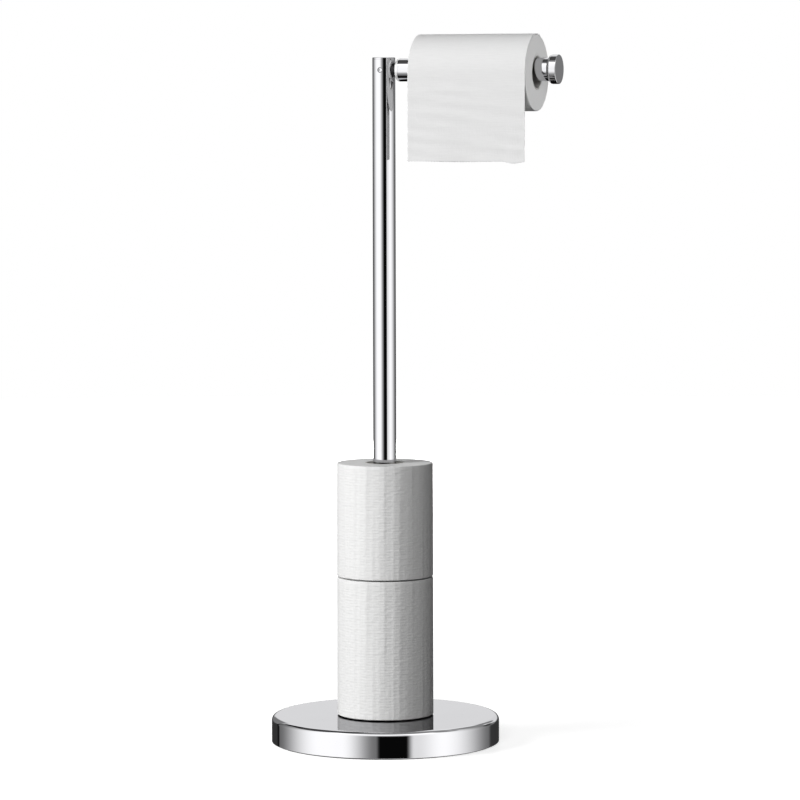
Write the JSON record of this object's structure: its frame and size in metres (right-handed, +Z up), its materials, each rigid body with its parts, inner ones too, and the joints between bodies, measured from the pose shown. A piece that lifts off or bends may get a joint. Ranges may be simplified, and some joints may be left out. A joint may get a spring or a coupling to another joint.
{
  "type": "freestanding toilet paper holder",
  "caption": "Round weighted base, upright post and horizontal arm with an end knob; a paper roll turns on the arm and spare rolls are stacked on the post.",
  "frame": {"origin": "on the floor under the axis of the post, at the centre of the base's underside", "axes": "+Z up along the post, +X along the arm towards its knob, -Y towards the side where the loose sheet hangs"},
  "size_m": [0.26, 0.2, 0.6197],
  "materials": {
    "chrome": "polished",
    "ballast_iron": "matte",
    "pad_rubber": "matte",
    "zinc_steel": "satin",
    "turned_brass": "satin",
    "washer_nylon": "matte",
    "tissue": "matte",
    "core_board": "matte"
  },
  "bodies": {
    "stand": {"anti_slip_pad": "pad_rubber", "base_cover": "chrome", "base_weight": "ballast_iron", "base_bolt": "zinc_steel", "lock_washer": "zinc_steel", "base_washer": "zinc_steel", "post_seat_washer": "washer_nylon", "post_tube": "chrome", "post_foot_insert": "turned_brass", "post_cap": "chrome", "grub_screw": "zinc_steel", "arm_root_plug": "chrome", "arm_tube": "chrome", "arm_tip_insert": "turned_brass", "knob_stud": "zinc_steel", "arm_knob": "chrome", "hanging_sheet": "tissue"},
    "arm_roll": {"arm_roll_core": "core_board", "arm_roll_paper": "tissue"},
    "spare_lower": {"spare_lower_core": "core_board", "spare_lower_paper": "tissue"},
    "spare_upper": {"spare_upper_core": "core_board", "spare_upper_paper": "tissue"}
  },
  "joints": [
    {"name": "roll_spin", "type": "hinge", "parent": "stand", "child": "arm_roll", "pos_m": [0.087, 0, 0.58605], "axis": [1, 0, 0], "continuous": true},
    {"name": "spare_lower_lift", "type": "slide", "parent": "stand", "child": "spare_lower", "axis": [0, 0, 1], "range_m": [0, 0.15]},
    {"name": "spare_upper_lift", "type": "slide", "parent": "spare_lower", "child": "spare_upper", "axis": [0, 0, 1], "range_m": [0, 0.15]}
  ]
}
